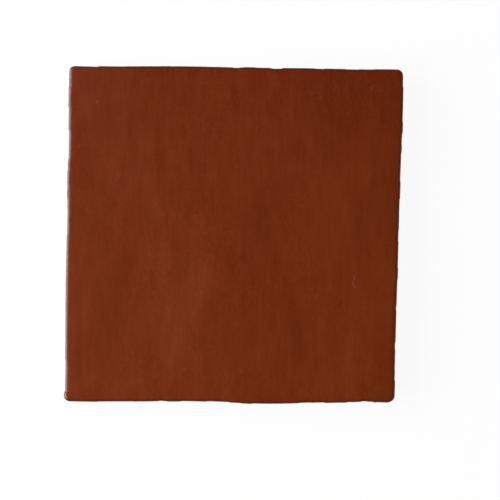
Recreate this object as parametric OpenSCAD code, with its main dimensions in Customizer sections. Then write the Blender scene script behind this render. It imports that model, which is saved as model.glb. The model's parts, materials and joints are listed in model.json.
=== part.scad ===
// Square fired-clay floor tile with a softly waving face and a keyed back.
// It lies on its back: the bed is the plane z = 0, the face looks up, and
// the origin is the middle of the bed. The clay was drawn along Y.

/* [Tile] */
// Length of a side, over the widest line of the section
side = 150; // [100:1:300]
// Height from the bed to the mean level of the face
thick = 12; // [9:0.5:20]

/* [Sides] */
// Plan radius of the corners
corner_r = 3; // [2.5:0.1:6]
// How far in from a side the face starts to roll over into it
arris_w = 2.1; // [1:0.1:4]
// How far down a side the roll ends
arris_h = 0.9; // [0.5:0.1:2]
// How far each side leans in between its widest line and the bed
draft = 0.7; // [0:0.1:2]
// Width and height of the bevel along the lower edge
foot = 0.6; // [0.2:0.1:1]
// Waviness of the sides, as a multiple of this tile's own, where 0 is straight
wander = 1; // [0:0.1:2]
// How far the corners lie off a true square, as a multiple of this tile's own
skew = 1; // [0:0.1:2]

/* [Face] */
// Height of the broad waves, above and below the mean level
swell = 0.6; // [0:0.05:1]
// How far the waves sway sideways on their way along the tile
sway = 2; // [0:0.5:12]
// How far the face falls away towards the side where it falls most
margin_fall = 0.3; // [0:0.02:0.6]
// Width of the margin that falls away
margin_w = 12; // [6:0.5:20]

/* [Back] */
// Width of a keying groove at its mouth
groove_w = 7; // [4:0.5:12]
// Width of the rib between two grooves, at the bed
rib_w = 7; // [4:0.5:12]
// Depth of a keying groove
groove_d = 1.5; // [0.8:0.1:3]
// How much wider a groove is at its root, on each side
undercut = 0.5; // [0:0.1:1]
// Radius in the two corners of a groove's root
root_r = 0.4; // [0.1:0.1:0.6]

/* [Hidden] */

// Steps on half a corner's arc, along a side between two arcs, up the arris, and
// round a groove's root
ARC_STEPS = 3;
SIDE_STEPS = 38;
ARRIS_STEPS = 5;
ROOT_STEPS = 4;
// Share of the steps along a side that bunches up towards its two corners
BUNCHING = 0.5;
// Least share of a corner's radius that is left where the section is drawn in
LEAST_CORNER = 0.3;
// How far a cutting shape runs past what it cuts
OVERCUT = 2;

// Corners run anticlockwise from the one at -X, -Y. Side i runs from corner i
// to the next. A row of trims says how far the corner lies off the square in X
// and in Y, and how much its radius differs from corner_r.
CORNER_SIGNS = [[-1, -1], [1, -1], [1, 1], [-1, 1]];
CORNER_TRIMS = [[0.5, -1.1, -0.4], [-1.5, 0.4, 0.3], [0.8, 0.6, 0.2], [0.2, 0.1, -0.1]];

// Each side bows by a sum of half waves: the first number is one half wave over
// the whole side, the next is two, and so on. Positive bows outwards.
SIDE_WAVES = [
    [0.05, -0.15, -0.1, 0.35, -0.05],
    [-0.05, 0, 0.05, -0.05, 0.05],
    [0.05, -0.05, -0.1, 0.1, -0.1],
    [0, -0.05, -0.05, 0.05, -0.05]
];
// One knock in the first side, close to its far corner: share of the way along
// the side, half its length, and its depth
KNOCK = [0.933, 3.7, 0.5];

// The face's waves: share of swell, wavelength, and heading and phase in degrees.
// Two long ones of the same height cross at a shallow angle, which leaves long
// lozenges of high and low clay along the tile, and a short one breaks them up.
FACE_WAVES = [
    [0.42, 72, 20, 165],
    [0.42, 72, -10, 85],
    [0.16, 42, -28, 75]
];
SWAY_LENGTH = 95;
// Share of margin_fall on each side, in the sides' order
MARGIN_SHARES = [0.4, 0.8, 0.4, 0.15];

SIDE_COUNT = ARC_STEPS + SIDE_STEPS + ARC_STEPS;
RING_COUNT = 4 * SIDE_COUNT;

function next(i) = (i + 1) % 4;
function previous(i) = (i + 3) % 4;
function mix(a, b, t) = a + (b - a) * t;
function smooth(t) = let (s = min(max(t, 0), 1)) s * s * (3 - 2 * s);
function middle(values) = (min(values) + max(values)) / 2;
function turned(angle) = [cos(angle), sin(angle)];

// ---- the outline in plan ----

function corner(i) = [
    for (k = [0, 1]) CORNER_SIGNS[i][k] * side / 2 + skew * CORNER_TRIMS[i][k]
];
function corner_radius(i) = corner_r + skew * CORNER_TRIMS[i][2];

// Heading of the outward normal of side i
function facing(i) =
    let (run = corner(next(i)) - corner(i)) atan2(-run[0], run[1]);

// Radius and centre of corner i on the outline drawn in by inset
function arc_radius(i, inset) =
    max(corner_radius(i) - inset, LEAST_CORNER * corner_radius(i));
function arc_centre(i, inset) =
    let (a = turned(facing(previous(i))), b = turned(facing(i)))
    corner(i) - (inset + arc_radius(i, inset)) * (a + b) / (1 + a * b);

// How far side i bows outwards at t, which runs from 0 to 1 along it
function waves(i, t) =
    SIDE_WAVES[i] * [for (k = [1 : len(SIDE_WAVES[i])]) sin(180 * k * t)];
function knock(i, t) =
    i == 0 ? KNOCK[2] * smooth(2 - 2 * abs(t - KNOCK[0]) * side / KNOCK[1]) : 0;
function bow(i, t) = wander * (waves(i, t) - knock(i, t));

// Steps along a side lie closer together near the corners
function bunched(t) = mix(t, (1 - cos(180 * t)) / 2, BUNCHING);

// A point on corner i's arc, where share runs from 0 to 1 round it
function arc_point(i, share, inset) =
    let (from = facing(previous(i)), sweep = (facing(i) - from + 360) % 360)
    arc_centre(i, inset) + arc_radius(i, inset) * turned(from + sweep * share);

function side_point(i, t, inset) =
    let (out = turned(facing(i)),
        from = arc_centre(i, inset) + arc_radius(i, inset) * out,
        to = arc_centre(next(i), inset) + arc_radius(next(i), inset) * out)
    mix(from, to, t) + bow(i, t) * out;

// Point s of side i, counted from the middle of its first corner's arc to the
// middle of the next
function outline_point(i, s, inset) =
    s < ARC_STEPS ? arc_point(i, (1 + s / ARC_STEPS) / 2, inset)
    : s <= ARC_STEPS + SIDE_STEPS
        ? side_point(i, bunched((s - ARC_STEPS) / SIDE_STEPS), inset)
    : arc_point(next(i), (s - ARC_STEPS - SIDE_STEPS) / ARC_STEPS / 2, inset);

function outline(inset) = [
    for (i = [0 : 3], s = [0 : SIDE_COUNT - 1]) outline_point(i, s, inset)
];

// Middle of the box round the outline, which the origin lies under
outline_middle = [for (k = [0, 1]) middle([for (p = outline(0)) p[k]])];

// ---- the face's height ----

function wave_height(p) =
    let (x = p[0] + sway * sin(360 * p[1] / SWAY_LENGTH))
    swell * [for (w = FACE_WAVES) w[0]]
        * [for (w = FACE_WAVES) sin(360 * ([x, p[1]] * turned(w[2])) / w[1] + w[3])];

// The fall steepens towards the side, from which the point lies off inwards
function roll(off) = pow(min(max(1 - off / margin_w, 0), 1), 3);
function margin_drop(p) =
    margin_fall * MARGIN_SHARES * [
        roll(side / 2 + p[1]), roll(side / 2 - p[0]),
        roll(side / 2 - p[1]), roll(side / 2 + p[0])
    ];

function face_height(p) = thick + wave_height(p) - margin_drop(p);

// ---- the slab: rings from the bed up to the rim, then a grid over the face ----

function bed_ring() = [for (p = outline(draft + foot)) [p[0], p[1], 0]];
function foot_ring() = [
    for (p = outline(draft * (1 - foot / (thick - arris_h)))) [p[0], p[1], foot]
];

// The arris at a given angle: 0 is the side's widest line, 90 is the face
function arris_ring(angle) = [
    for (p = outline(arris_w * (1 - cos(angle))))
        [p[0], p[1], face_height(p) - arris_h * (1 - sin(angle))]
];

function rings() = [
    bed_ring(),
    foot_ring(),
    for (k = [0 : ARRIS_STEPS]) arris_ring(90 * k / ARRIS_STEPS)
];

// The face spans its rim as a skin spans a four-sided hoop: the point in column
// j and row k blends the rim's points that it faces on all four sides.
function face_point(j, k, rim) =
    let (n = SIDE_COUNT, u = j / n, v = k / n,
        up = mix(rim[j], rim[3 * n - j], v),
        across = mix(rim[(4 * n - k) % RING_COUNT], rim[n + k], u),
        flat = mix(mix(rim[0], rim[n], u), mix(rim[3 * n], rim[2 * n], u), v),
        p = up + across - flat)
    [p[0], p[1], face_height(p)];

function inner_points(rim) = [
    for (k = [1 : SIDE_COUNT - 1], j = [1 : SIDE_COUNT - 1]) face_point(j, k, rim)
];

// Index of the face's point in column j and row k, which may lie on the rim
function face_index(j, k, rim_start, inner_start) =
    let (n = SIDE_COUNT)
    k == 0 ? rim_start + j
    : j == n ? rim_start + n + k
    : k == n ? rim_start + 3 * n - j
    : j == 0 ? rim_start + 4 * n - k
    : inner_start + (k - 1) * (n - 1) + j - 1;

// Two triangles that close the quad a, b, c, d, seen anticlockwise from outside
function quad(a, b, c, d) = [[a, c, b], [a, d, c]];

module slab() {
    levels = rings();
    rim = levels[len(levels) - 1];
    rim_start = (len(levels) - 1) * RING_COUNT;
    inner_start = len(levels) * RING_COUNT;
    bed_centre = inner_start + pow(SIDE_COUNT - 1, 2);
    points = concat(
        [for (ring = levels) each ring],
        inner_points(rim),
        [[outline_middle[0], outline_middle[1], 0]]
    );
    bed = [for (s = [0 : RING_COUNT - 1]) [bed_centre, s, (s + 1) % RING_COUNT]];
    wall = [
        for (level = [0 : len(levels) - 2], s = [0 : RING_COUNT - 1])
            let (a = level * RING_COUNT, t = (s + 1) % RING_COUNT)
            each quad(a + s, a + t, a + RING_COUNT + t, a + RING_COUNT + s)
    ];
    face = [
        for (k = [0 : SIDE_COUNT - 1], j = [0 : SIDE_COUNT - 1])
            each quad(
                face_index(j, k, rim_start, inner_start),
                face_index(j + 1, k, rim_start, inner_start),
                face_index(j + 1, k + 1, rim_start, inner_start),
                face_index(j, k + 1, rim_start, inner_start)
            )
    ];
    polyhedron(points = points, faces = concat(bed, wall, face));
}

// ---- the keyed back ----

// Grooves come in pairs about the middle, which leaves a rib on the centre line
// and at least one rib's width of bed along each side.
groove_pitch = groove_w + rib_w;
groove_pairs = floor((side / 2 - draft - foot - rib_w / 2) / groove_pitch);

// Right half of a groove's section, from its mouth up to its rounded root
function groove_half() =
    let (lean = atan2(undercut, groove_d),
        centre = [
            groove_w / 2 + undercut - root_r / tan((90 - lean) / 2),
            groove_d - root_r
        ])
    [
        [groove_w / 2, -OVERCUT],
        [groove_w / 2, 0],
        for (k = [0 : ROOT_STEPS]) centre + root_r * turned(mix(-lean, 90, k / ROOT_STEPS))
    ];

module groove_section() {
    right = groove_half();
    left = [for (k = [len(right) - 1 : -1 : 0]) [-right[k][0], right[k][1]]];
    polygon(concat(right, left));
}

module keying_grooves() {
    for (end = [-1, 1], k = [1 : groove_pairs])
        translate([end * (k - 0.5) * groove_pitch, 0, 0])
            rotate([90, 0, 0])
                linear_extrude(height = side + 4 * OVERCUT, center = true)
                    groove_section();
}

module tile() {
    color("#6e2d14")
        difference() {
            translate([-outline_middle[0], -outline_middle[1], 0])
                slab();
            keying_grooves();
        }
}

tile();
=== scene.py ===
# %% [markdown]
# # A satin-glazed floor tile
#
# This lesson dresses one fired-clay floor tile. Its construction is already
# settled: a closed solid with an outline out of square, a waving face, rolled
# arrises and a grooved back. Here it gets what a solid model leaves out: the
# fine relief that pressing and glazing leave on clay, the glaze that stops
# part of the way down the sides, and the bare red body under it.
#
# Everything is in metres and in the solid's own frame. The bed is at z = 0,
# the face looks up, x runs to the right and y runs to the far side.

# %% Load the fixed frame
import json
import math

import bmesh
import bpy
import numpy as np
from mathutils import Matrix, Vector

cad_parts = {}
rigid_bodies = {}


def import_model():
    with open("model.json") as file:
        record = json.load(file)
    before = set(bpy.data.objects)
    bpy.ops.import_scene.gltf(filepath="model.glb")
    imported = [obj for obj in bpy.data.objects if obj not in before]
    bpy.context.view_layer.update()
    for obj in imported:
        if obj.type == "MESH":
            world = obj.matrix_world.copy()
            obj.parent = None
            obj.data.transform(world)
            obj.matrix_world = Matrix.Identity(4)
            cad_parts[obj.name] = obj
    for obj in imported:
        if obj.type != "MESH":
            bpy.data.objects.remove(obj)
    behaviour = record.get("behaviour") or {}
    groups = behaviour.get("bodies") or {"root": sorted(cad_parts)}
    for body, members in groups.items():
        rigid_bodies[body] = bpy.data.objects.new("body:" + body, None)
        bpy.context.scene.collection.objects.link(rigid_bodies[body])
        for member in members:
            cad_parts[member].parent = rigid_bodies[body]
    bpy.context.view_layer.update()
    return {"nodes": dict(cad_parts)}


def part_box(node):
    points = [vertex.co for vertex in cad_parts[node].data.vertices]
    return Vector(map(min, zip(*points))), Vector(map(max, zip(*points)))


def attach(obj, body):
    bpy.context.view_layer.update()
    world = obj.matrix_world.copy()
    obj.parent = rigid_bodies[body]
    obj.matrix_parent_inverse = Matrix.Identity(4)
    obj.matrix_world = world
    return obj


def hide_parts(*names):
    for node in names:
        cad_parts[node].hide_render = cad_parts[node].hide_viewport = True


MM = 0.001

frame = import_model()
cad_tile = frame["nodes"]["tile"]
low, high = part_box("tile")
size = high - low
print("tile, mm:", [round(v / MM, 2) for v in size])

# %% [markdown]
# ## Helpers
#
# Colours are easiest to choose as the hex values a painter would read off a
# swatch, but a shader works in linear light, so one function turns the first
# into the second. Another adds a node to any tree, of a material, the room or
# Geometry Nodes, with its settings and its links. A node can be handed to it
# as an input, and then its first live output is linked, so that a tree reads
# as a list of steps.


# %% Helpers for colours and nodes
def linear(swatch):
    """Linear RGBA of an sRGB hex colour such as 6e2d14."""
    channels = [int(swatch[k : k + 2], 16) / 255 for k in (0, 2, 4)]
    return [
        c / 12.92 if c <= 0.04045 else ((c + 0.055) / 1.055) ** 2.4 for c in channels
    ] + [1.0]


def live(value):
    """The first live output of a node, or the value itself."""
    if isinstance(value, bpy.types.Node):
        return next(output for output in value.outputs if output.enabled)
    return value


def add(tree, kind, inputs=(), **settings):
    """Adds a node. Its inputs come in the order of its sockets, or by name or number."""
    node = tree.nodes.new(kind)
    for name, value in settings.items():
        setattr(node, name, value)
    if not isinstance(inputs, dict):
        inputs = dict(enumerate(inputs))
    for socket, value in inputs.items():
        value = live(value)
        if isinstance(value, bpy.types.NodeSocket):
            tree.links.new(value, node.inputs[socket])
        else:
            node.inputs[socket].default_value = value
    return node


WHITE = linear("ffffff")
print("a brown red in linear light:", [round(c, 3) for c in linear("6e2905")])

# %% [markdown]
# ## Camera
#
# A tile is judged by its face, so it is shown from straight above, with a
# long lens that keeps the sides hidden. The camera could be aimed with a
# tracking constraint, but one that looks straight down needs only a place and
# a turn. It hangs over a point a little to the right of the tile's middle and
# on its near side, and is turned by about a degree, because the tile was not
# laid down quite straight.

# %% Camera over the tile
LENS = 85
SENSOR = 36
VIEW_WIDTH = 223.95 * MM
AIM = (7.34 * MM, -6.43 * MM)
TURN = math.radians(0.92)

camera_data = bpy.data.cameras.new("camera")
camera_data.lens = LENS
camera_data.sensor_width = SENSOR
camera = bpy.data.objects.new("camera", camera_data)
camera.location = (*AIM, high.z + VIEW_WIDTH * LENS / SENSOR)
camera.rotation_euler = (0, 0, TURN)
bpy.context.scene.collection.objects.link(camera)
bpy.context.scene.camera = camera
print("camera height, m:", round(camera.location.z, 3))

# %% [markdown]
# ## Floor
#
# The floor is a plain pale sheet that has to look white. More light on it
# would do that, and would wash out the tile as well. So the sheet asks Light
# Path what kind of ray has met it. Rays from the camera, and those that a
# gloss or a clear body has sent on, see it nearly all as a plain white of its
# own, and a small matt share keeps the tile's soft shadow. All other rays
# meet a matt pale grey, so the floor sends a normal amount of light back up.

# %% Pale floor
FLOOR_SIZE = 6.0
FLOOR_SHADE = "d8d8d6"
SEEN_WHITE = 0.93

sheet = bpy.data.materials.new("pale_studio_floor")
sheet.use_nodes = True
tree = sheet.node_tree
tree.nodes.clear()
path = add(tree, "ShaderNodeLightPath").outputs
seen = add(tree, "ShaderNodeMath", (path["Is Camera Ray"], path["Is Glossy Ray"]))
seen = add(tree, "ShaderNodeMath", (seen, path["Is Transmission Ray"]), use_clamp=True)
share = add(tree, "ShaderNodeMath", (seen, SEEN_WHITE), operation="MULTIPLY")
shade = add(tree, "ShaderNodeMix", {0: seen, 6: linear(FLOOR_SHADE), 7: WHITE}, data_type="RGBA")
matt = add(tree, "ShaderNodeBsdfDiffuse", {"Color": shade})
white = add(tree, "ShaderNodeEmission", {"Color": WHITE, "Strength": 1.0})
mixed = add(tree, "ShaderNodeMixShader", (share, matt, white))
add(tree, "ShaderNodeOutputMaterial", {"Surface": mixed})

floor_mesh = bpy.data.meshes.new("floor")
half = FLOOR_SIZE / 2
floor_mesh.from_pydata(
    [(-half, -half, 0), (half, -half, 0), (half, half, 0), (-half, half, 0)], [], [(0, 1, 2, 3)]
)
floor_mesh.materials.append(sheet)
floor = bpy.data.objects.new("floor", floor_mesh)
bpy.context.scene.collection.objects.link(floor)
print("floor, m:", FLOOR_SIZE)

# %% [markdown]
# ## Key light
#
# One large soft source stands low on the left. A light from above would show
# the glaze's colour and little else. This one rakes the face, which brings
# out its waves, draws a bright line along the left arris and leaves the other
# three dark. It is an area light as large as a window, so its shadow is soft.

# %% Key light
KEY_BEARING = math.radians(179)
KEY_ELEVATION = math.radians(26)
KEY_DISTANCE = 1.0
KEY_SIZE = (1.45, 0.95)
KEY_WATTS = 28.2

key_data = bpy.data.lights.new("key", "AREA")
key_data.shape = "RECTANGLE"
key_data.size, key_data.size_y = KEY_SIZE
key_data.energy = KEY_WATTS
key = bpy.data.objects.new("key", key_data)
key.location = (
    KEY_DISTANCE * math.cos(KEY_ELEVATION) * math.cos(KEY_BEARING),
    KEY_DISTANCE * math.cos(KEY_ELEVATION) * math.sin(KEY_BEARING),
    high.z + KEY_DISTANCE * math.sin(KEY_ELEVATION),
)
key.rotation_euler = (math.pi / 2 - KEY_ELEVATION, 0, KEY_BEARING + math.pi / 2)
key.visible_camera = False
bpy.context.scene.collection.objects.link(key)
print("key at, m:", [round(v, 2) for v in key.location])

# %% [markdown]
# ## Room
#
# The rest of the light comes from the room, which is the world's background:
# pale walls that fill the shadows, more from the right, and a dim ceiling,
# because a satin face seen from above mirrors the ceiling, and a bright one
# would wash its colour out. Real walls could be built, but a background that
# changes with height does the same with a few nodes. To the camera alone it
# is white, so that hardly any horizon shows behind the floor in a low view.

# %% Room
WALL_LEVEL = 0.75
CEILING_LEVEL = 0.05
# Heights on a ball round the tile, from 0 at the floor to 1 overhead
WALL_TO = 0.12
CEILING_FROM = 0.6
# How much lighter the walls are towards the right and the far side
WALL_LEAN = (0.9, 0.1, 0)
BACKDROP_WHITE = 0.99

room = bpy.data.worlds.new("room")
room.use_nodes = True
tree = room.node_tree
tree.nodes.clear()
direction = add(tree, "ShaderNodeTexCoord").outputs["Generated"]
height = add(tree, "ShaderNodeSeparateXYZ", (direction,)).outputs["Z"]
level = add(
    tree,
    "ShaderNodeMapRange",
    (height, WALL_TO, CEILING_FROM, WALL_LEVEL, CEILING_LEVEL),
    interpolation_type="SMOOTHSTEP",
)
lean = add(tree, "ShaderNodeVectorMath", (direction, WALL_LEAN), operation="DOT_PRODUCT")
lean = add(tree, "ShaderNodeMath", (lean, 1.0), operation="ADD")
level = add(tree, "ShaderNodeMath", (level, lean), operation="MULTIPLY")
seen = add(tree, "ShaderNodeLightPath").outputs["Is Camera Ray"]
level = add(tree, "ShaderNodeMix", {0: seen, 2: level, 3: BACKDROP_WHITE}, data_type="FLOAT")
glow = add(tree, "ShaderNodeBackground", {"Color": WHITE, "Strength": level})
add(tree, "ShaderNodeOutputWorld", {"Surface": glow})
bpy.context.scene.world = room
bpy.context.scene.view_settings.view_transform = "Standard"
print("walls and ceiling:", WALL_LEVEL, CEILING_LEVEL)

# %% [markdown]
# ## The skin's mesh
#
# The solid's mesh is right in shape, but its facets are 3 to 4 mm wide, too
# wide to hold the relief of a glaze. A remesh would round off the arrises and
# the grooves, so a copy is refined where it stands. First its loose triangles
# are merged, the flat strips of the back are made whole, and the triangles of
# the front are joined back into quads.

# %% Copy of the solid, in quads
MERGE = 0.001 * MM
RIM_WIDE = 3 * MM
BACK_TOP = 1.6 * MM
# Parts of a face's normal: sideways on a flank of a groove, downwards on the back
FLANK_SLANT = 0.02
LOOKS_DOWN = -0.5
FLAT_WITHIN = math.radians(0.5)
QUAD_WITHIN = math.radians(60)


def is_back(face):
    """True for the bed, the roots of the grooves and their flanks."""
    inside = abs(face.calc_center_median().x) < size.x / 2 - RIM_WIDE
    flank = abs(face.normal.y) < FLANK_SLANT and inside
    return face.normal.z < LOOKS_DOWN or flank and all(v.co.z < BACK_TOP for v in face.verts)


mesh = bmesh.new()
mesh.from_mesh(cad_tile.data)
bmesh.ops.remove_doubles(mesh, verts=mesh.verts, dist=MERGE)
mesh.normal_update()
back = {f for f in mesh.faces if is_back(f)}
bmesh.ops.dissolve_limit(
    mesh,
    angle_limit=FLAT_WITHIN,
    use_dissolve_boundaries=False,
    verts=[],
    edges=[e for e in mesh.edges if all(f in back for f in e.link_faces)],
)
mesh.normal_update()
bmesh.ops.join_triangles(
    mesh,
    faces=[f for f in mesh.faces if not is_back(f)],
    angle_face_threshold=QUAD_WITHIN,
    angle_shape_threshold=QUAD_WITHIN,
)
print("faces before cutting:", len(mesh.faces))

# %% [markdown]
# Then every long edge of the face, the arrises and the sides is cut into
# short ones, and round the tile's few small marks the mesh is cut finer
# still: a curled hair, a bright curve at the near left corner and some grains.

# %% Cutting the front
TALL_EDGE = 6 * MM
TALL_CUTS = 12
LONG_EDGE = 1.2 * MM
LONG_CUTS = 4
MARK_CUTS = 3

# Middle of each small mark on the face, and how far it reaches, mm
CURL = (55.2, -19.8)
CORNER = (-73.8, -73.2)
GRAINS = [
    (38, 62),
    (-35, 14),
    (4, -61),
    (61, 67),
    (-62, 59),
    (-21, -60),
    (-70, 39),
    (-52, 26),
    # These two sit on the left rim, and their pale share is a painted highlight
    (-74.4, 56.7),
    (-75, 18.4),
]
CURL_REACH = 5.0
CORNER_REACH = 2.5
GRAIN_REACH = 1.6
MARK_REACH = {CURL: CURL_REACH, CORNER: CORNER_REACH} | {grain: GRAIN_REACH for grain in GRAINS}


def front_edges():
    """Edges of the face, the arrises and the sides, and those the back shares with them."""
    return [e for e in mesh.edges if not all(is_back(f) for f in e.link_faces)]


def near_mark(edge):
    """True for an edge of the upper half with its middle near a small mark."""
    middle = (edge.verts[0].co + edge.verts[1].co) / 2
    return middle.z > high.z / 2 and any(
        math.dist((middle.x / MM, middle.y / MM), mark) < reach
        for mark, reach in MARK_REACH.items()
    )


tall = [e for e in front_edges() if abs(e.verts[0].co.z - e.verts[1].co.z) > TALL_EDGE]
bmesh.ops.subdivide_edges(mesh, edges=tall, cuts=TALL_CUTS, use_grid_fill=True)
long = [e for e in front_edges() if e.calc_length() > LONG_EDGE]
bmesh.ops.subdivide_edges(mesh, edges=long, cuts=LONG_CUTS, use_grid_fill=True)
marked = [e for e in mesh.edges if near_mark(e)]
bmesh.ops.subdivide_edges(mesh, edges=marked, cuts=MARK_CUTS, use_grid_fill=True)
print("faces with the front cut:", len(mesh.faces))

# %% [markdown]
# The flat strips of the back are cut across into tidy rectangles, and the
# wide ones lengthwise too, fine enough for coarse grit. Cutting by planes
# keeps the grooves' edges straight, which subdividing long strips would not.

# %% Cutting the back
BACK_STEP = 1.6 * MM
BACK_WIDE = 3 * MM
BACK_CUTS = 3

faces = [f for f in mesh.faces if is_back(f)]
edges = {e for f in faces for e in f.edges}
verts = {v for f in faces for v in f.verts}
part = faces + list(edges) + list(verts)
for step in range(1, int(size.y / BACK_STEP)):
    part = bmesh.ops.bisect_plane(
        mesh,
        geom=part,
        plane_co=(0, low.y + step * BACK_STEP, 0),
        plane_no=(0, 1, 0),
    )["geom"]
wide = [
    e for e in mesh.edges if e.calc_length() > BACK_WIDE and all(is_back(f) for f in e.link_faces)
]
bmesh.ops.subdivide_edges(mesh, edges=wide, cuts=BACK_CUTS, use_grid_fill=True)
print("faces with the back cut:", len(mesh.faces))

# %% [markdown]
# Slivers are taken out last, because a sliver folds over as soon as one of
# its points moves. The skin is shaded smooth, and stays sharp at the foot and
# at the mouths of the grooves, where its faces meet at a steep angle.

# %% The skin
SLIVER = 0.03 * MM
SHARP = math.radians(40)

bmesh.ops.dissolve_degenerate(mesh, edges=mesh.edges, dist=SLIVER)
bmesh.ops.triangulate(mesh, faces=mesh.faces)
bmesh.ops.recalc_face_normals(mesh, faces=mesh.faces)
open_edges = sum(not e.is_manifold for e in mesh.edges)
skin_data = bpy.data.meshes.new("glazed_tile")
mesh.to_mesh(skin_data)
mesh.free()
skin_data.attributes.remove(skin_data.attributes["custom_normal"])
skin_data.shade_smooth()
skin_data.set_sharp_from_angle(angle=SHARP)
skin = bpy.data.objects.new("glazed_tile", skin_data)
bpy.context.scene.collection.objects.link(skin)
print("skin triangles:", len(skin.data.polygons), "open edges:", open_edges)

# %% [markdown]
# ## Satin-glazed red clay
#
# One material covers the tile, because glaze and clay are fired into one
# piece, and the line between them is ragged and belongs to both. Two
# materials would meet along the edges of faces, in steps. So each point
# carries attributes that the relief and the marks write: glaze_edge, its
# height above the line where the glaze stops, in millimetres; arris and side,
# its share in each; stroke_painted_shading and pale_and_highlight, what was
# drawn on it, partly painted light, shade and highlight.
#
# Everything uneven in it is noise, stretched along the tile where a brush or
# a die ran that way. The patterns read Object coordinates, so their sizes are
# real ones.

# %% Material and its patterns
# Width across the tile and length along it, where the pattern is cut from the noise, so that
# no two line up, and the noise's detail and roughness
PATTERNS = {
    # Brush streaks in the glaze
    "streak": (1.9 * MM, 16 * MM, 3.0, 3.0, 0.55),
    # Clouds where the wet glaze lay thicker
    "cloud": (9 * MM, 14.4 * MM, 8.0, 5.0, 0.7),
    # Specks of colour. Real ones are near 0.2 mm, and drawn this coarse so that they show
    "speck": (1.0 * MM, 1.3 * MM, 17.0, 2.0, 0.6),
    # Patches that hold more or fewer of the specks
    "patch": (20 * MM, 28 * MM, 51.0, 2.0, 0.5),
    # The glaze's orange peel
    "peel": (0.9 * MM, 1.35 * MM, 13.0, 2.0, 0.5),
    # Sand in the body. Real grains are 0.1 to 0.3 mm, and drawn this coarse so that they show
    "grain": (0.8 * MM, 0.8 * MM, 21.0, 4.0, 0.7),
    # Lighter and darker blush from the kiln
    "blush": (14 * MM, 14 * MM, 5.0, 3.0, 0.5),
    # Lines dragged along the body by the die
    "drag": (1.1 * MM, 40 * MM, 31.0, 3.0, 0.6),
    # Iron and grog. Only the noise's ends show, so spots under 1 mm come from waves this wide
    "spot": (2.2 * MM, 2.2 * MM, 41.0, 1.0, 0.5),
}
# The values of its noise that each pattern runs between
SPANS = {
    "streak": (0.25, 0.75),
    "cloud": (0.2, 0.8),
    "speck": (0.2, 0.8),
    "patch": (0.35, 0.65),
    "grain": (0.3, 0.7),
    "blush": (0.3, 0.7),
    "drag": (0.3, 0.7),
}
# Glaze is a glass, and fired clay is close to one
IOR = 1.5

# Red clay, pressed, brushed with an iron glaze and fired: a deep brown red that shines softly
finish = bpy.data.materials.new("satin_glazed_red_clay")
finish.use_nodes = True
clay = finish.node_tree
shader = clay.nodes["Principled BSDF"]
shader.inputs["IOR"].default_value = IOR
place = add(clay, "ShaderNodeTexCoord").outputs["Object"]
right, away, up = add(clay, "ShaderNodeSeparateXYZ", (place,)).outputs
patterns = {}
for name, (width, length, cut_at, detail, roughness) in PATTERNS.items():
    where = add(
        clay,
        "ShaderNodeVectorMath",
        (place, (1 / width, 1 / length, 1 / width), (cut_at, cut_at, cut_at)),
        operation="MULTIPLY_ADD",
    )
    patterns[name] = add(
        clay,
        "ShaderNodeTexNoise",
        {"Vector": where, "Scale": 1.0, "Detail": detail, "Roughness": roughness},
    )
drawn, arris, side, pale_and_highlight, glaze_edge = [
    add(clay, "ShaderNodeAttribute", attribute_name=name).outputs["Fac"]
    for name in ("stroke_painted_shading", "arris", "side", "pale_and_highlight", "glaze_edge")
]
print("material:", finish.name, "patterns:", list(patterns))

# %% [markdown]
# ### Tone of the glaze and painted shade
#
# The glaze was brushed on, so its tone runs in faint streaks along the tile,
# over softer clouds and patchy specks. On top of these the tone carries
# painted shade: it is darker towards the far side, most of all in the far
# right corner, as light falls off across the face, and in a narrow band at
# the near side. The strokes drawn on the face add their painted light and
# shade too. Each of these is a small step up or down from a middle tone of 0,
# and they are added up.

# %% Tone of the glaze
# What each pattern gives at the two ends of its span: steps of tone, and the share of specks
GLAZE_TONES = {
    "streak": (-0.036, 0.036),
    "cloud": (-0.05, 0.05),
    "speck": (-0.067, 0.067),
    "patch": (0.45, 1.35),
}
# Painted light and shade of the strokes, on top of their real tilt
STROKE_PAINTED_SHADE_STEP = 0.01
# Painted shade: darker towards the far side, as light falls off across the face
ALONG_PAINTED_SHADE = 0.09
# Where each end of painted shade starts and is whole, in lengths of the tile from its middle
FAR_END = (0.3, 0.6)
FAR_PAINTED_SHADE = 0.0598
FAR_SLANT = 0.3
NEAR_END = (-0.5, -0.45)
NEAR_PAINTED_SHADE = 0.046

tones = {}
for name, ends in GLAZE_TONES.items():
    tones[name] = add(
        clay,
        "ShaderNodeMapRange",
        (patterns[name], *SPANS[name], *ends),
        interpolation_type="SMOOTHSTEP",
    )
slant = add(clay, "ShaderNodeMath", (right, FAR_SLANT, away), operation="MULTIPLY_ADD")
far_painted_shade = add(
    clay,
    "ShaderNodeMapRange",
    (slant, size.y * FAR_END[0], size.y * FAR_END[1], 0.0, -FAR_PAINTED_SHADE),
    interpolation_type="SMOOTHSTEP",
)
near_painted_shade = add(
    clay,
    "ShaderNodeMapRange",
    (away, size.y * NEAR_END[0], size.y * NEAR_END[1], -NEAR_PAINTED_SHADE, 0.0),
    interpolation_type="SMOOTHSTEP",
)
tone = add(clay, "ShaderNodeMath", (tones["speck"], tones["patch"]), operation="MULTIPLY")
tone = add(clay, "ShaderNodeMath", (drawn, STROKE_PAINTED_SHADE_STEP, tone), operation="MULTIPLY_ADD")
tone = add(clay, "ShaderNodeMath", (away, -ALONG_PAINTED_SHADE / size.y, tone), operation="MULTIPLY_ADD")
for part in (tones["streak"], tones["cloud"], far_painted_shade, near_painted_shade):
    tone = add(clay, "ShaderNodeMath", (tone, part), operation="ADD")
print("tones:", list(tones), "and the two ends")

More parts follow.
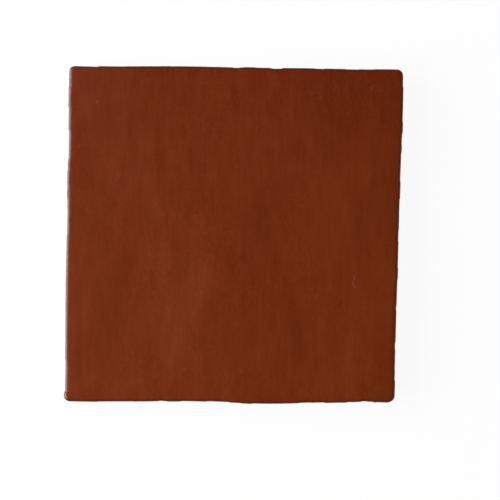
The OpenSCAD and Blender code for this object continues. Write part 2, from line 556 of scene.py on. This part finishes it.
# %% [markdown]
# ### Colour of the glaze
#
# An iron-red glaze is a deep red brown where it is thick and a warmer, paler
# one where it is thin, so the tone mixes the two. The mix may run past either
# end. Over the arris the colour is painted darker, a painted shade that is
# strongest on the near and far ends. On the sides, where the glaze ran thin
# over the body, it is lighter. The hair and the grains that were fired into it
# show pale through it; the curve at the near left corner and two grains on the
# left rim are pale as a painted highlight.

# %% Colour of the glaze
GLAZE_THICK = "641d00"
GLAZE_THIN = "78310a"
GLAZE_SPREAD = 0.36
# Painted shade over the arris, in full on the near and far ends
ARRIS_PAINTED_SHADE = 0.34
SIDE_LIGHT = 0.3
# Pale of the hair and grains, and of the painted highlights at the near left corner and on the
# left rim
PALE_AND_HIGHLIGHT = "c9b8ab"

share = add(clay, "ShaderNodeMath", (tone, 1 / GLAZE_SPREAD, 0.5), operation="MULTIPLY_ADD")
glaze = add(
    clay,
    "ShaderNodeMix",
    {0: share, 6: linear(GLAZE_THICK), 7: linear(GLAZE_THIN)},
    data_type="RGBA",
    clamp_factor=False,
)
depth = add(clay, "ShaderNodeMath", (arris, -ARRIS_PAINTED_SHADE, 1.0), operation="MULTIPLY_ADD")
depth = add(clay, "ShaderNodeMath", (side, SIDE_LIGHT, depth), operation="MULTIPLY_ADD")
glaze = add(clay, "ShaderNodeVectorMath", {0: glaze, 3: depth}, operation="SCALE")
glaze = add(clay, "ShaderNodeMix", {0: pale_and_highlight, 6: glaze, 7: linear(PALE_AND_HIGHLIGHT)}, data_type="RGBA")
print("glaze, thick and thin:", GLAZE_THICK, GLAZE_THIN)

# %% [markdown]
# ### Colour of the body
#
# Red clay without glaze is matt, sandy and paler. Its sand gives a fine grain,
# the kiln a slow blush, and the die that shaped it long drag lines. The ribs
# of the back have stood on a dusty kiln shelf and are paler at their feet.
# Dark spots are iron and light ones are grog, which is crushed fired clay.

# %% Colour of the body
BODY = "8f5742"
BODY_TONES = {"grain": (-0.16, 0.12), "blush": (-0.1, 0.1), "drag": (-0.08, 0.08)}
RIB_DUST = 0.1
RIB_DUST_TO = 0.5 * MM
# Colour of each kind of spot, and the values of the noise where it starts and is whole
SPOTS = {"iron": ("4f2c22", 0.25, 0.21), "grog": ("c69a80", 0.73, 0.79)}
SPOT_SHARE = 0.7

light = add(
    clay,
    "ShaderNodeMapRange",
    (up, 0.0, RIB_DUST_TO, 1.0 + RIB_DUST, 1.0),
    interpolation_type="SMOOTHSTEP",
)
for name, ends in BODY_TONES.items():
    part = add(
        clay,
        "ShaderNodeMapRange",
        (patterns[name], *SPANS[name], *ends),
        interpolation_type="SMOOTHSTEP",
    )
    light = add(clay, "ShaderNodeMath", (light, part), operation="ADD")
body = add(clay, "ShaderNodeVectorMath", {0: linear(BODY)[:3], 3: light}, operation="SCALE")
for swatch, start, whole in SPOTS.values():
    spots = add(
        clay,
        "ShaderNodeMapRange",
        (patterns["spot"], start, whole, 0.0, SPOT_SHARE),
        interpolation_type="SMOOTHSTEP",
    )
    body = add(clay, "ShaderNodeMix", {0: spots, 6: body, 7: linear(swatch)}, data_type="RGBA")
print("body:", BODY, "spots:", list(SPOTS))

# %% [markdown]
# ### Where the glaze stops
#
# A glaze ends in a ragged line, because it creeps between the grains of sand.
# So the height above the line is shifted a little by the same grain that
# colours the body, before it is turned into glaze or no glaze.

# %% Glaze or body
# How far the line strays at a grain, and half its width, mm
GLAZE_FRAY = 0.2
GLAZE_LINE = 0.12

frayed = add(
    clay,
    "ShaderNodeMapRange",
    (patterns["grain"], *SPANS["grain"], -GLAZE_FRAY, GLAZE_FRAY),
    interpolation_type="SMOOTHSTEP",
)
frayed = add(clay, "ShaderNodeMath", (glaze_edge, frayed), operation="ADD")
glazed = add(
    clay,
    "ShaderNodeMapRange",
    (frayed, -GLAZE_LINE, GLAZE_LINE),
    interpolation_type="SMOOTHSTEP",
)
colour = add(clay, "ShaderNodeMix", {0: glazed, 6: body, 7: glaze}, data_type="RGBA")
print("the glaze's line strays by, mm:", GLAZE_FRAY)

# %% [markdown]
# ### Gloss and fine relief
#
# The glaze is satin: smooth enough to mirror a soft light, too rough to show
# a picture of it, and a little rougher on the arris. The body is matt. The
# relief here is what no mesh of this size can hold, the glaze's orange peel
# and the body's sand and drag lines, so it is a bump in the material.

# %% Gloss and fine relief
GLAZE_ROUGH = (0.28, 0.315)
ARRIS_ROUGH = 0.04
ARRIS_ROUGH_TO = 0.3
BODY_ROUGH = 0.88
PEEL_HEIGHT = 0.004 * MM
GRAIN_HEIGHT = 0.08 * MM
DRAG_HEIGHT = 0.05 * MM

satin = add(
    clay,
    "ShaderNodeMapRange",
    (patterns["cloud"], *SPANS["cloud"], *GLAZE_ROUGH),
    interpolation_type="SMOOTHSTEP",
)
rougher = add(
    clay,
    "ShaderNodeMapRange",
    (arris, 0.0, ARRIS_ROUGH_TO, 0.0, ARRIS_ROUGH),
    interpolation_type="SMOOTHSTEP",
)
satin = add(clay, "ShaderNodeMath", (satin, rougher), operation="ADD")
rough = add(clay, "ShaderNodeMix", {0: glazed, 2: BODY_ROUGH, 3: satin}, data_type="FLOAT")

peel = add(clay, "ShaderNodeMath", (patterns["peel"], PEEL_HEIGHT), operation="MULTIPLY")
sand = add(clay, "ShaderNodeMath", (patterns["drag"], DRAG_HEIGHT), operation="MULTIPLY")
sand = add(
    clay, "ShaderNodeMath", (patterns["grain"], GRAIN_HEIGHT, sand), operation="MULTIPLY_ADD"
)
lift = add(clay, "ShaderNodeMix", {0: glazed, 2: sand, 3: peel}, data_type="FLOAT")
bump = add(clay, "ShaderNodeBump", {"Strength": 1.0, "Distance": 1.0, "Height": lift})
for socket, node in {"Base Color": colour, "Roughness": rough, "Normal": bump}.items():
    clay.links.new(live(node), shader.inputs[socket])
print("roughness of glaze and body:", GLAZE_ROUGH, BODY_ROUGH)

# %% [markdown]
# ## Relief that follows the surface
#
# Clay that is drawn along its length and pressed by hand keeps long shallow
# ripples, its glaze gathers over the arris, its rim is dented, and where the
# glaze stops the bare clay stands back. It could be sculpted, but all of it
# follows the surface by rule, so it is one Geometry Nodes tree with its sizes
# as named inputs. Every step only moves points.

# %% The relief's tree and its inputs
RELIEF_INPUTS = {
    "Facet Passes": ("NodeSocketInt", 24),
    "Bead Height": ("NodeSocketFloat", 0.11 * MM),
    "Ripple Width": ("NodeSocketFloat", 9 * MM),
    "Ripple Length": ("NodeSocketFloat", 28 * MM),
    "Ripple Height": ("NodeSocketFloat", 0.13 * MM),
    "Streak Width": ("NodeSocketFloat", 3.2 * MM),
    "Streak Length": ("NodeSocketFloat", 11 * MM),
    "Streak Height": ("NodeSocketFloat", 0.036 * MM),
    "Sway Width": ("NodeSocketFloat", 22 * MM),
    "Sway Length": ("NodeSocketFloat", 26 * MM),
    "Wander": ("NodeSocketFloat", 14 * MM),
    "Rim Dent Size": ("NodeSocketFloat", 5 * MM),
    "Rim Dent Depth": ("NodeSocketFloat", 0.16 * MM),
    "Glaze Stops At": ("NodeSocketFloat", 6.5 * MM),
    "Glaze Runs": ("NodeSocketFloat", 4 * MM),
    "Glaze Run Size": ("NodeSocketFloat", 15 * MM),
    "Glaze Thickness": ("NodeSocketFloat", 0.12 * MM),
    "Grit Size": ("NodeSocketFloat", 1.6 * MM),
    "Grit Height": ("NodeSocketFloat", 0.1 * MM),
    "Seed": ("NodeSocketInt", 7),
    "Finish": ("NodeSocketMaterial", finish),
}
# How far into the noise one step of the seed goes
SEED_STEP = 3.7
# Where each unevenness is cut from the noise, and the noise's detail and roughness
NOISES = {
    "sway": (0.0, 2.0, 0.5),
    "ripple": (11.0, 1.0, 0.5),
    "streak": (23.0, 2.0, 0.5),
    "dent": (31.0, 2.0, 0.55),
    "run": (0.0, 3.0, 0.6),
    "grit": (0.0, 2.0, 0.6),
}

relief = bpy.data.node_groups.new("glazed_clay_relief", "GeometryNodeTree")
relief.interface.new_socket("Geometry", in_out="INPUT", socket_type="NodeSocketGeometry")
for name, (kind, _) in RELIEF_INPUTS.items():
    relief.interface.new_socket(name, in_out="INPUT", socket_type=kind)
relief.interface.new_socket("Geometry", in_out="OUTPUT", socket_type="NodeSocketGeometry")
given = add(relief, "NodeGroupInput").outputs
position = add(relief, "GeometryNodeInputPosition")
x, y, z = add(relief, "ShaderNodeSeparateXYZ", (position,)).outputs
normal = add(relief, "GeometryNodeInputNormal")
_, endways, upward = add(relief, "ShaderNodeSeparateXYZ", (normal,)).outputs
seed = add(relief, "ShaderNodeMath", (given["Seed"], SEED_STEP), operation="MULTIPLY")


def unevenness(kind, across, width, length, depth=seed):
    """Noise about 0, of about -0.5 to 0.5, in waves of the named width and length."""
    cut_at, detail, roughness = NOISES[kind]
    across = add(relief, "ShaderNodeMath", (across, given[width]), operation="DIVIDE")
    along = add(relief, "ShaderNodeMath", (y, given[length]), operation="DIVIDE")
    depth = add(relief, "ShaderNodeMath", (depth, cut_at), operation="ADD")
    where = add(relief, "ShaderNodeCombineXYZ", (across, along, depth))
    noise = add(
        relief,
        "ShaderNodeTexNoise",
        {"Vector": where, "Scale": 1.0, "Detail": detail, "Roughness": roughness},
    )
    return add(relief, "ShaderNodeMath", (noise, 0.5), operation="SUBTRACT")


print("inputs of the relief:", len(RELIEF_INPUTS))

# %% [markdown]
# The solid is made of small flat facets, and a glaze would show them at once.
# Blurring the positions of the points on the face takes the facets off and
# leaves its waves. Only the points whose normals look nearly straight up are
# moved, or the arrises would shrink.

# %% Facets off
# How far up the normal looks where each of these starts and is whole
LOOKS_UP = {
    "flat": (0.994, 0.9985),
    "face": (0.94, 0.995),
    "over the side": (0.35, 0.75),
    "on the arris": (0.3, 0.6),
    "on the bead": (0.45, 0.8),
    "past the bead": (0.88, 0.96),
}

looks_up = {
    name: add(relief, "ShaderNodeMapRange", (upward, *ramp), interpolation_type="SMOOTHSTEP")
    for name, ramp in LOOKS_UP.items()
}
blurred = add(
    relief,
    "GeometryNodeBlurAttribute",
    {"Value": position, "Iterations": given["Facet Passes"], "Weight": looks_up["flat"]},
    data_type="FLOAT_VECTOR",
)
steps = add(
    relief, "GeometryNodeSetPosition", {"Geometry": given["Geometry"], "Position": blurred}
)
print("bands told apart by the normal:", list(looks_up))

# %% [markdown]
# Where a point lies is read from its normal: one that looks nearly straight
# up is on the face, one that looks sideways is on a side, and the arris is
# between them. The tree keeps this as attributes before anything else moves,
# because later steps and the finish need to know it. The arris counts in
# full on the near and far ends, and for less on the left and right, so the
# painted shade that the finish lays on it is strongest on the near and far ends.

# %% Face, arris and sides
# How far the normal looks to the near or far side from where a point counts as on that end
END_FROM = (0.05, 0.25)
# The arris fades out between these two, and starts to do so later on the near and far ends
ARRIS_TO = (0.93, 0.998)
ARRIS_LATER = 0.045
SIDE_SHARE = 0.6

at_end = add(relief, "ShaderNodeMath", (endways,), operation="ABSOLUTE")
at_end = add(relief, "ShaderNodeMapRange", (at_end, *END_FROM), interpolation_type="SMOOTHSTEP")
flat_from = add(
    relief, "ShaderNodeMath", (at_end, ARRIS_LATER, ARRIS_TO[0]), operation="MULTIPLY_ADD"
)
past = add(
    relief,
    "ShaderNodeMapRange",
    (upward, flat_from, ARRIS_TO[1]),
    interpolation_type="SMOOTHSTEP",
)
on_arris = add(relief, "ShaderNodeMath", (looks_up["on the arris"], past), operation="SUBTRACT")
strength = add(
    relief, "ShaderNodeMath", (at_end, 1 - SIDE_SHARE, SIDE_SHARE), operation="MULTIPLY_ADD"
)
on_arris = add(relief, "ShaderNodeMath", (on_arris, strength), operation="MULTIPLY")
on_side = add(relief, "ShaderNodeMath", (1.0, looks_up["over the side"]), operation="SUBTRACT")
for name, value in {"face": looks_up["face"], "arris": on_arris, "side": on_side}.items():
    steps = add(
        relief,
        "GeometryNodeStoreNamedAttribute",
        {"Geometry": steps, "Name": name, "Value": value},
        data_type="FLOAT",
        domain="POINT",
    )
face = add(relief, "GeometryNodeInputNamedAttribute", {"Name": "face"}, data_type="FLOAT")
print("kept on each point: face, arris, side")

# %% [markdown]
# The glaze gathers in a low bead where it turns over the arris. The ripples
# are long soft noise and the streaks a finer one. Both are led sideways by a
# slow sway, or they would run as straight as a comb.

# %% Bead, ripples and streaks
# Heights on the sides between which the relief of the face fades in
TOP_FROM = 5 * MM
TOP_TO = 10.5 * MM

bead = (looks_up["on the bead"], looks_up["past the bead"])
bead = add(relief, "ShaderNodeMath", bead, operation="SUBTRACT")
bead = add(relief, "ShaderNodeMath", (bead, given["Bead Height"]), operation="MULTIPLY")
bead = add(relief, "ShaderNodeCombineXYZ", {"Z": bead})
steps = add(relief, "GeometryNodeSetPosition", {"Geometry": steps, "Offset": bead})

sway = unevenness("sway", x, "Sway Width", "Sway Length")
drifted = add(relief, "ShaderNodeMath", (sway, given["Wander"], x), operation="MULTIPLY_ADD")
ripple = unevenness("ripple", drifted, "Ripple Width", "Ripple Length")
streak = unevenness("streak", drifted, "Streak Width", "Streak Length")
rise = add(relief, "ShaderNodeMath", (ripple, given["Ripple Height"]), operation="MULTIPLY")
rise = add(
    relief, "ShaderNodeMath", (streak, given["Streak Height"], rise), operation="MULTIPLY_ADD"
)
near_top = add(
    relief, "ShaderNodeMapRange", (z, TOP_FROM, TOP_TO), interpolation_type="SMOOTHSTEP"
)
rise = add(relief, "ShaderNodeMath", (rise, near_top), operation="MULTIPLY")
rise = add(relief, "ShaderNodeCombineXYZ", {"Z": rise})
steps = add(relief, "GeometryNodeSetPosition", {"Geometry": steps, "Offset": rise})
print("relief of the face fades in between, mm:", round(TOP_FROM / MM, 1), round(TOP_TO / MM, 1))

# %% [markdown]
# Handling before the kiln leaves the rim a little uneven. These dents only
# ever go inwards, so that the tile stays inside the solid it replaces, and
# they fade out towards the foot and on the face.

# %% Small dents along the rim
# Heights between which they fade in, mm
DENT_FROM = (3, 9)

dent = unevenness("dent", x, "Rim Dent Size", "Rim Dent Size")
dent = add(relief, "ShaderNodeMath", (dent, 0.5), operation="ADD")
dent = add(relief, "ShaderNodeMath", (dent, given["Rim Dent Depth"]), operation="MULTIPLY")
upper = add(
    relief,
    "ShaderNodeMapRange",
    (z, DENT_FROM[0] * MM, DENT_FROM[1] * MM),
    interpolation_type="SMOOTHSTEP",
)
off_face = add(relief, "ShaderNodeMath", (1.0, face), operation="SUBTRACT")
for part in (upper, off_face, -1.0):
    dent = add(relief, "ShaderNodeMath", (dent, part), operation="MULTIPLY")
sideways = add(relief, "ShaderNodeVectorMath", (normal, (1, 1, 0)), operation="MULTIPLY")
sideways = add(relief, "ShaderNodeVectorMath", (sideways,), operation="NORMALIZE")
inward = add(relief, "ShaderNodeVectorMath", {0: sideways, 3: dent}, operation="SCALE")
steps = add(relief, "GeometryNodeSetPosition", {"Geometry": steps, "Offset": inward})
print("dents of the rim start and are whole at, mm:", DENT_FROM)

# %% [markdown]
# The glaze stops about half of the way down, in a line that wanders as the
# glaze ran. How far above the line a point lies is kept in millimetres, for
# the step down to the clay and for the finish.

# %% The line where the glaze stops
run = unevenness("run", x, "Glaze Run Size", "Glaze Run Size")
line = (run, given["Glaze Runs"], given["Glaze Stops At"])
line = add(relief, "ShaderNodeMath", line, operation="MULTIPLY_ADD")
above = add(relief, "ShaderNodeMath", (z, line), operation="SUBTRACT")
above = add(relief, "ShaderNodeMath", (above, MM), operation="DIVIDE")
steps = add(
    relief,
    "GeometryNodeStoreNamedAttribute",
    {"Geometry": steps, "Name": "glaze_edge", "Value": above},
    data_type="FLOAT",
    domain="POINT",
)
edge = add(relief, "GeometryNodeInputNamedAttribute", {"Name": "glaze_edge"}, data_type="FLOAT")
print("kept on each point: glaze_edge")

# %% [markdown]
# Below the line the bare clay stands back by the glaze's thickness and by its
# own grit. That is a real step, not a bump, because it shows on the outline
# and catches the light. The thin lips where a groove runs out through a side
# keep their place, or they would fold over.

# %% Bare clay
# Heights above the line where the clay stands back in full and not at all, mm
STEP_DOWN = (-0.5, 0.3)
LIP_REACH = 4 * MM
LIP_TOP = 1.6 * BACK_TOP

grit_depth = add(relief, "ShaderNodeMath", (z, given["Grit Size"]), operation="DIVIDE")
grit = unevenness("grit", x, "Grit Size", "Grit Size", grit_depth)
grit = add(relief, "ShaderNodeMath", (grit, 0.5), operation="ADD")
back_by = (grit, given["Grit Height"], given["Glaze Thickness"])
back_by = add(relief, "ShaderNodeMath", back_by, operation="MULTIPLY_ADD")
covered = add(relief, "ShaderNodeMapRange", (edge, *STEP_DOWN), interpolation_type="SMOOTHSTEP")
bare = add(relief, "ShaderNodeMath", (1.0, covered), operation="SUBTRACT")

lip_from, lip_to = size.y / 2 - LIP_REACH, size.y / 2 - LIP_REACH / 2
lips = add(relief, "ShaderNodeMath", (y,), operation="ABSOLUTE")
lips = add(relief, "ShaderNodeMapRange", (lips, lip_from, lip_to), interpolation_type="SMOOTHSTEP")
higher = add(relief, "ShaderNodeMapRange", (z, BACK_TOP, LIP_TOP), interpolation_type="SMOOTHSTEP")
low_down = add(relief, "ShaderNodeMath", (1.0, higher), operation="SUBTRACT")
lips = add(relief, "ShaderNodeMath", (lips, low_down), operation="MULTIPLY")
free = add(relief, "ShaderNodeMath", (1.0, lips), operation="SUBTRACT")
for part in (bare, free, -1.0):
    back_by = add(relief, "ShaderNodeMath", (back_by, part), operation="MULTIPLY")
inward = add(relief, "ShaderNodeVectorMath", {0: normal, 3: back_by}, operation="SCALE")
steps = add(relief, "GeometryNodeSetPosition", {"Geometry": steps, "Offset": inward})

steps = add(relief, "GeometryNodeRealizeInstances", {"Geometry": steps})
steps = add(relief, "GeometryNodeSetMaterial", {"Geometry": steps, "Material": given["Finish"]})
add(relief, "NodeGroupOutput", {"Geometry": steps})
print("nodes in the relief:", len(relief.nodes))

# %% [markdown]
# The tree is hung on the skin as a modifier. Its inputs are set by their
# sockets' identifiers before the skin is first evaluated, and the result is
# taken as a plain mesh, so that nothing live is left on the piece.

# %% Shape the skin
modifier = skin.modifiers.new("relief", "NODES")
modifier.node_group = relief
identifiers = {
    item.name: item.identifier for item in relief.interface.items_tree if item.in_out == "INPUT"
}
for name, (_, value) in RELIEF_INPUTS.items():
    modifier[identifiers[name]] = value
graph = bpy.context.evaluated_depsgraph_get()
shaped = bpy.data.meshes.new_from_object(skin.evaluated_get(graph))
skin.modifiers.remove(modifier)
skin.data = shaped
print("after the relief, triangles:", len(skin.data.polygons))

# %% [markdown]
# ## Marks of this one tile
#
# The rest is this tile's own and follows no rule, so it is drawn one by one,
# in plain numbers and in millimetres. A brush in sculpt mode could do it, but
# could not be read or changed here. Each mark is a line or a spot with soft
# edges, and moves the points under it.

# %% Points, and how a mark fades
# How much of a line's own length its ends reach beyond it, and fade over
END_BEYOND = 0.2
END_FADE = 0.45


def smooth(t):
    """Goes from 0 to 1 as t does, and starts and ends gently."""
    t = np.clip(t, 0, 1)
    return t * t * (3 - 2 * t)


def across(points, start, end, bend):
    """Distance to the side of a bent line, and a weight that fades at its two ends."""
    start, end = np.array(start, float), np.array(end, float)
    length = np.linalg.norm(end - start)
    along = (end - start) / length
    t = (points - start) @ along / length
    side = (points - start) @ np.array([-along[1], along[0]]) - 4 * bend * t * (1 - t)
    fade = smooth((t + END_BEYOND) / END_FADE) * smooth((1 + END_BEYOND - t) / END_FADE)
    return side, fade


count = len(skin.data.vertices)
points = np.empty(count * 3)
skin.data.vertices.foreach_get("co", points)
points = points.reshape(-1, 3) / MM
on_face = np.empty(count)
skin.data.attributes["face"].data.foreach_get("value", on_face)
print("points:", count, "on the face:", int(on_face.sum()))

# %% [markdown]
# ### Dents and bulges of the rim
#
# Each says which side it is on, where its middle is along that side, half its
# length and its depth. A depth below 0 is a bulge. They press on the upper
# part of the side and fade out above the foot, and nothing is pushed beyond
# the solid's own box.

# %% Rim
DENTS = [
    ("left", -73.2, 1.8, -0.45),
    ("left", -66, 9, 0.2),
    ("left", 5, 6, 0.14),
    ("left", 18, 2.5, -0.15),
    ("left", 39.5, 6.5, 0.33),
    ("left", 24.5, 3.5, -0.18),
    ("left", 61, 4.5, -0.22),
    ("right", -69, 5, -0.28),
    ("right", -66, 7, -0.14),
    ("right", -48.5, 1.5, 0.2),
    ("right", -31.5, 1, 0.18),
    ("right", -16, 2.5, -0.18),
    ("right", 1, 2.5, 0.14),
    ("right", 21.5, 4, -0.2),
    ("right", 40, 1.5, -0.15),
    ("right", 49.5, 2.5, -0.25),
    ("right", 71, 3, 0.25),
    ("far", -68, 6, 0.3),
    ("far", 0, 1.5, 0.2),
    ("far", 6, 2.5, -0.18),
    ("far", 18, 2.5, 0.38),
    ("far", 37.5, 2, 0.18),
    ("far", 52, 3, 0.12),
    ("far", 68, 6, -0.14),
    ("near", -52, 8, 0.12),
    ("near", -31.5, 1, 0.2),
    ("near", -26, 3, -0.2),
    ("near", -6, 5, 0.22),
    ("near", 7, 2.5, -0.2),
    ("near", 33, 2.5, 0.14),
    ("near", 47, 5, -0.26),
    ("near", 59, 0.8, 0.14),
    ("near", 63, 1, 0.2),
    ("near", 69, 4, 0.28),
]
OUTWARDS = {"left": (-1, 0), "right": (1, 0), "far": (0, 1), "near": (0, -1)}
# Length over which a dent's end fades, its reach in from the rim and its reach down, mm
PRESS_FADE = 1.2
PRESS_OUT = (69, 73)
PRESS_UP = (3, 8)

shift = np.zeros((count, 2))
for side_name, middle, half_length, depth_in in DENTS:
    outwards = np.array(OUTWARDS[side_name])
    off_middle = np.abs(points[:, :2] @ outwards[::-1] * outwards.sum() - middle)
    window = smooth((half_length - off_middle) / PRESS_FADE + 0.5)
    reach = smooth((points[:, :2] @ outwards - PRESS_OUT[0]) / (PRESS_OUT[1] - PRESS_OUT[0]))
    shift -= np.outer(window * reach * depth_in, outwards)
upper_part = smooth((points[:, 2] - PRESS_UP[0]) / (PRESS_UP[1] - PRESS_UP[0]))
points[:, :2] += shift * upper_part[:, None]
points[:, :2] = np.clip(points[:, :2], np.array(low)[:2] / MM, np.array(high)[:2] / MM)
print("dents:", len(DENTS), "farthest move, mm:", round(float(np.abs(shift).max()), 2))

# %% [markdown]
# ### Strokes on the face
#
# A palm or a smoothing tool leaves broad strokes. Each is given by its two
# ends, how far it bends, half its width and its strength. A stroke tips the
# face a little to one side, which turns it to the light or away, and its
# glaze is painted that much lighter as well: painted light and shade on top
# of the real tilt. A stroke of negative strength is a dark one.

# %% Strokes
STROKES = [
    ((-70, 90), (-68, 22), 0, 14, -1.4),
    ((-64, 90), (-64, 64), 0, 12, -3.4),
    ((-54, 92), (-55, 66), 0, 8, -1.8),
    ((-73, 62), (-72, 26), 0, 6, -2.2),
    ((-51, 58), (-51, 40), 0, 4, -1.1),
    ((-40, 72), (-40, 56), 0, 5, 1.2),
    ((-10, -2), (-10, -26), 1, 4, 2.6),
    ((-10, -14), (-16, -44), -1, 5, 2.6),
    ((-19, -34), (-28, -62), -1, 5.5, 2.1),
    ((-31, 4), (-34, -22), 0, 3.5, 1.4),
    ((-24, -2), (-24, -24), 0, 5, -2.2),
    ((-8, 12), (0, -20), 1, 4, -2.4),
    ((-33, 64), (-33, 22), -1, 2.5, -1.6),
    ((-48, 58), (-46, 36), 0, 3, -1.2),
    ((-27, 44), (-27, 30), 0, 3, 1.5),
    ((-12, 70), (-12, 44), 0, 6, 1.2),
    ((0, 34), (0, 14), 1, 3.5, 1.4),
    ((12, 24), (13, 6), 0, 4, -1.5),
    ((30, 50), (38, 28), 1, 4, 2.2),
    ((52, 28), (45, -10), 0, 4.5, 2.0),
    ((57, 44), (57, 22), 1, 4, 2.0),
    ((47, 40), (47, 24), 0, 4, -1.5),
    ((57, 16), (59, -22), 0, 4.5, -2.0),
    ((69, 6), (69, -34), 0, 4, 1.4),
    ((47, -16), (45, -52), 0, 3, -2.4),
    ((26, -28), (32, -58), 0, 3.5, -2.4),
    ((18, -18), (18, -40), 0, 2.5, -1.2),
    ((13, -32), (13, -58), 0, 4, 1.7),
    ((38, -30), (40, -62), 1, 3, 1.6),
    ((53, -42), (54, -70), 0, 3, 2.8),
    ((-13, -44), (-6, -80), 0, 5, -3.0),
    ((-43, -46), (-36, -72), 0, 5, -1.6),
    ((-55, -44), (-53, -66), 0, 5, 1.2),
    ((-55, 34), (-54, 18), 0, 4, 1.6),
    ((-36, 20), (-36, 10), 0, 2.5, 1.8),
    ((-48, -2), (-49, -22), 0, 4, -1.4),
    ((-32, -26), (-34, -46), 0, 3, -1.2),
    ((-65, 0), (-66, -26), 0, 3, 1.0),
    ((-20, 40), (-15, 18), 1, 5, -1.3),
    ((-21, 12), (-20, -4), 0, 3, -1.6),
    ((-36, 56), (-35, 32), 0, 5, -1.6),
    ((66, 66), (66, 42), 0, 5, -1.9),
    ((68, -12), (68, -36), 0, 4, 1.2),
    ((62, -2), (64, -18), 0, 3.5, -1.2),
    ((32, 22), (33, -2), 0, 4, -1.3),
    ((9, 78), (9, 60), 0, 5, 0.8),
    ((28, 60), (28, 46), 0, 4, -1.2),
    ((-38, -8), (-47, -34), 0, 5, 2.2),
    ((-34, -58), (-34, -78), 0, 6, -1.8),
    ((-63, -40), (-61, -72), 0, 7, 1.8),
    ((33, -28), (35, -48), 0, 3.5, 1.8),
    ((47, -58), (47, -78), 0, 4, -1.9),
    ((71, -30), (71, -86), 0, 8, -1.9),
]
# Height gained for each millimetre to the side of a stroke of strength 1
STROKE_TILT = 0.012

plan = points[:, :2]
stroke_painted_shading = np.zeros(count)
pale_and_highlight_share = np.zeros(count)
raised = np.zeros(count)
for start, end, bend, half_width, force in STROKES:
    off_line, fade = across(plan, start, end, bend)
    weight = force * fade * np.exp(-((off_line / half_width) ** 2))
    stroke_painted_shading += weight
    raised += STROKE_TILT * off_line * weight
print("strokes:", len(STROKES), "tone:", round(stroke_painted_shading.min(), 2), round(stroke_painted_shading.max(), 2))

# %% [markdown]
# ### Hair, corner curve and grains
#
# A hair that fell into the wet glaze fired to a raised, pale curl of two
# short lines. A third line is the bright curve at the near left corner: a
# raised line whose pale share is a painted highlight. The grains are specks
# of clay caught under the glaze, longer than they are wide, as the brush left
# them; the last two sit on the left rim, and their pale share paints part of
# the arris's highlight.

# %% Hair, corner curve and grains
CURL_LINES = [
    ((54.7, -16.4), (54.5, -19.2), 0, 0.5),
    ((53.9, -19.6), (55.2, -22.8), -0.4, 0.9),
    # The bright curve at the near left corner, whose pale share is a painted highlight
    ((-74.2, -72.2), (-73, -74.2), -0.3, 1.2),
]
CURL_HALF = 0.42
CURL_RISE = 0.13
CURL_PALE_AND_HIGHLIGHT = 0.048
GRAIN_HALF = 0.45
GRAIN_LONG = 1.5
GRAIN_RISE = 0.035
GRAIN_PALE_AND_HIGHLIGHT = 0.03

for start, end, bend, force in CURL_LINES:
    off_line, fade = across(plan, start, end, bend)
    weight = force * fade * np.exp(-((off_line / CURL_HALF) ** 2))
    pale_and_highlight_share += CURL_PALE_AND_HIGHLIGHT * weight
    raised += CURL_RISE * weight
for grain in GRAINS:
    off_grain = (plan - grain) / (GRAIN_HALF, GRAIN_HALF * GRAIN_LONG)
    weight = np.exp(-(off_grain**2).sum(1))
    pale_and_highlight_share += GRAIN_PALE_AND_HIGHLIGHT * weight
    raised += GRAIN_RISE * weight
print("curl lines:", len(CURL_LINES), "grains:", len(GRAINS))

# %% [markdown]
# The marks lift the arris along with the face, so that it stays one band, and
# fade out down the sides. Crests are eased off just below the solid's highest
# point, which keeps the skin inside the solid. The strokes' painted light and
# the pale and highlight share go to the finish as attributes.

# %% Write the marks to the skin
CREST_ROOM = 0.25

top = smooth((points[:, 2] - TOP_FROM / MM) / ((TOP_TO - TOP_FROM) / MM))
points[:, 2] += raised * top
over = points[:, 2] - (high.z / MM - CREST_ROOM)
eased = CREST_ROOM * (1 - np.exp(-np.maximum(over, 0) / CREST_ROOM))
points[:, 2] += np.where(over > 0, eased - over, 0)
skin.data.vertices.foreach_set("co", (points * MM).ravel())
skin.data.update()
for name, values in {"stroke_painted_shading": stroke_painted_shading * on_face, "pale_and_highlight": pale_and_highlight_share * top}.items():
    skin.data.attributes.new(name, "FLOAT", "POINT").data.foreach_set("value", values)
print("highest point, mm:", round(float(points[:, 2].max()), 3))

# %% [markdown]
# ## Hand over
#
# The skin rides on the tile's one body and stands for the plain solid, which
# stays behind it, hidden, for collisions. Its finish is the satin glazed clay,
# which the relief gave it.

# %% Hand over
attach(skin, "root")
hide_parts("tile")
